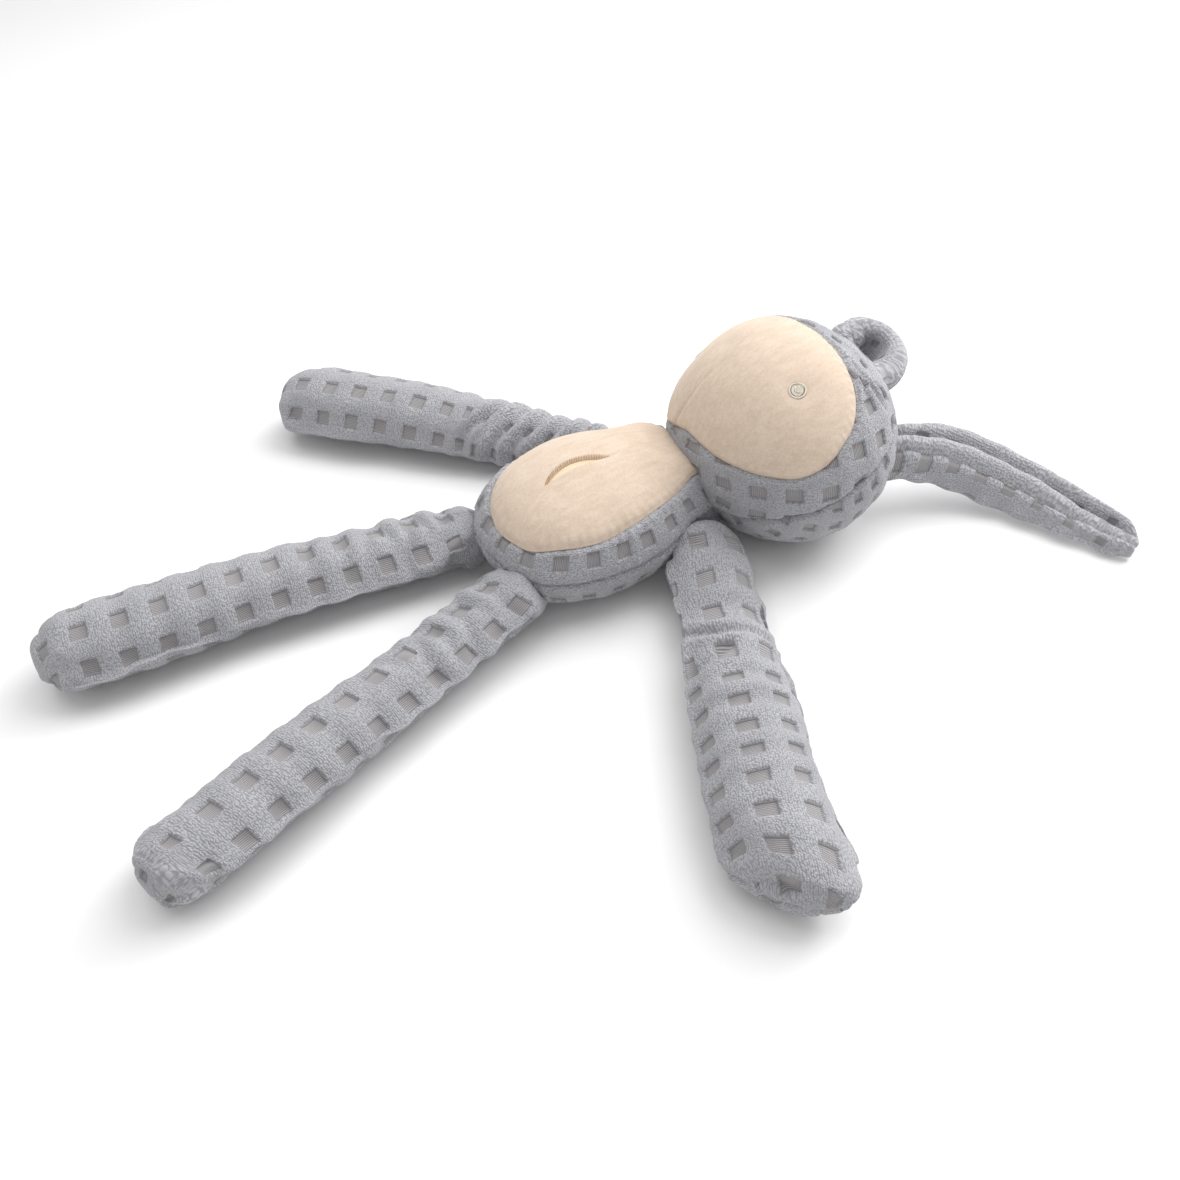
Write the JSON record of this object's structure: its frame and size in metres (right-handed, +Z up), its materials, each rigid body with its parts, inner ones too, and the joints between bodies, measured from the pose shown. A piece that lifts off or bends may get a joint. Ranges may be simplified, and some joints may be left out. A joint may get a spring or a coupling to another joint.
{
  "type": "stuffed bunny rabbit",
  "caption": "Long-limbed soft bunny lying on its back, grey checked terry with cream face and tummy patches, one ear spread out and one ear curled up.",
  "frame": {"origin": "bottom centre of the bounding box, on the surface that the toy lies on", "axes": "+Y from the feet to the head, +X towards the bunny's left, +Z up, towards its tummy"},
  "size_m": [0.4104, 0.4837, 0.1035],
  "materials": {
    "grey_terry": "matte terry loops with a grid of recessed flat squares",
    "cream_velour": "short soft pile with a faint sheen",
    "cream_lining": "matte plain weave",
    "eye_embroidery_thread": "satin stitch",
    "polyester_fibrefill": "loose matte fibre"
  },
  "bodies": {
    "torso": {"torso_back_panel": "grey_terry", "torso_front_panel": "grey_terry", "tummy_patch": "cream_velour", "tummy_pocket_lining": "cream_lining", "torso_stuffing": "polyester_fibrefill"},
    "head": {"face_patch": "cream_velour", "head_front_panel": "grey_terry", "head_back_panel": "grey_terry", "head_stuffing": "polyester_fibrefill", "left_eye_embroidery": "eye_embroidery_thread", "right_eye_embroidery": "eye_embroidery_thread"},
    "left_leg_upper": {"left_leg_upper_front_panel": "grey_terry", "left_leg_upper_back_panel": "grey_terry", "left_leg_upper_stuffing": "polyester_fibrefill"},
    "left_leg_lower": {"left_leg_lower_front_panel": "grey_terry", "left_leg_lower_back_panel": "grey_terry", "left_leg_lower_stuffing": "polyester_fibrefill"},
    "right_leg_upper": {"right_leg_upper_front_panel": "grey_terry", "right_leg_upper_back_panel": "grey_terry", "right_leg_upper_stuffing": "polyester_fibrefill"},
    "right_leg_lower": {"right_leg_lower_front_panel": "grey_terry", "right_leg_lower_back_panel": "grey_terry", "right_leg_lower_stuffing": "polyester_fibrefill"},
    "left_arm_upper": {"left_arm_upper_front_panel": "grey_terry", "left_arm_upper_back_panel": "grey_terry", "left_arm_upper_stuffing": "polyester_fibrefill"},
    "left_arm_lower": {"left_arm_lower_front_panel": "grey_terry", "left_arm_lower_back_panel": "grey_terry", "left_arm_lower_stuffing": "polyester_fibrefill"},
    "right_arm_upper": {"right_arm_upper_front_panel": "grey_terry", "right_arm_upper_back_panel": "grey_terry", "right_arm_upper_stuffing": "polyester_fibrefill"},
    "right_arm_lower": {"right_arm_lower_front_panel": "grey_terry", "right_arm_lower_back_panel": "grey_terry", "right_arm_lower_stuffing": "polyester_fibrefill"},
    "left_ear": {"left_ear_inner_layer": "grey_terry", "left_ear_outer_layer": "grey_terry"},
    "right_ear": {"right_ear_inner_layer": "grey_terry", "right_ear_outer_layer": "grey_terry"}
  },
  "joints": [
    {"name": "neck_nod", "type": "hinge", "parent": "torso", "child": "head", "pos_m": [-0.00065, 0.07905, 0.042], "axis": [1, 0, 0], "range_deg": [-20, 25]},
    {"name": "left_hip", "type": "hinge", "parent": "torso", "child": "left_leg_upper", "pos_m": [0.01618, -0.06235, 0.01527], "axis": [-0.9627, -0.2706, 0], "range_deg": [-60, 70]},
    {"name": "left_knee", "type": "hinge", "parent": "left_leg_upper", "child": "left_leg_lower", "pos_m": [0.03785, -0.13946, 0.01527], "axis": [-0.9627, -0.2706, 0], "range_deg": [-75, 70]},
    {"name": "right_hip", "type": "hinge", "parent": "torso", "child": "right_leg_upper", "pos_m": [-0.0436, -0.06283, 0.01527], "axis": [-0.9925, 0.1219, 0], "range_deg": [-60, 70]},
    {"name": "right_knee", "type": "hinge", "parent": "right_leg_upper", "child": "right_leg_lower", "pos_m": [-0.05336, -0.14233, 0.01527], "axis": [-0.9925, 0.1219, 0], "range_deg": [-75, 70]},
    {"name": "left_shoulder", "type": "hinge", "parent": "torso", "child": "left_arm_upper", "pos_m": [0.04785, 0.04109, 0.01699], "axis": [-0.4226, -0.9063, 0], "range_deg": [-60, 60]},
    {"name": "left_elbow", "type": "hinge", "parent": "left_arm_upper", "child": "left_arm_lower", "pos_m": [0.10848, 0.01281, 0.01699], "axis": [-0.4226, -0.9063, 0], "range_deg": [-75, 50]},
    {"name": "right_shoulder", "type": "hinge", "parent": "torso", "child": "right_arm_upper", "pos_m": [-0.07165, 0.03547, 0.01699], "axis": [-0.6613, 0.7501, 0], "range_deg": [-60, 60]},
    {"name": "right_elbow", "type": "hinge", "parent": "right_arm_upper", "child": "right_arm_lower", "pos_m": [-0.12183, -0.00877, 0.01699], "axis": [-0.6613, 0.7501, 0], "range_deg": [-75, 50]},
    {"name": "left_ear_fold", "type": "hinge", "parent": "head", "child": "left_ear", "pos_m": [0.04035, 0.16505, 0.036], "axis": [0.9417, -0.3363, 0], "range_deg": [-10, 60]},
    {"name": "right_ear_fold", "type": "hinge", "parent": "head", "child": "right_ear", "pos_m": [-0.02165, 0.16405, 0.048], "axis": [1, 0, 0], "range_deg": [-5, 40]}
  ]
}
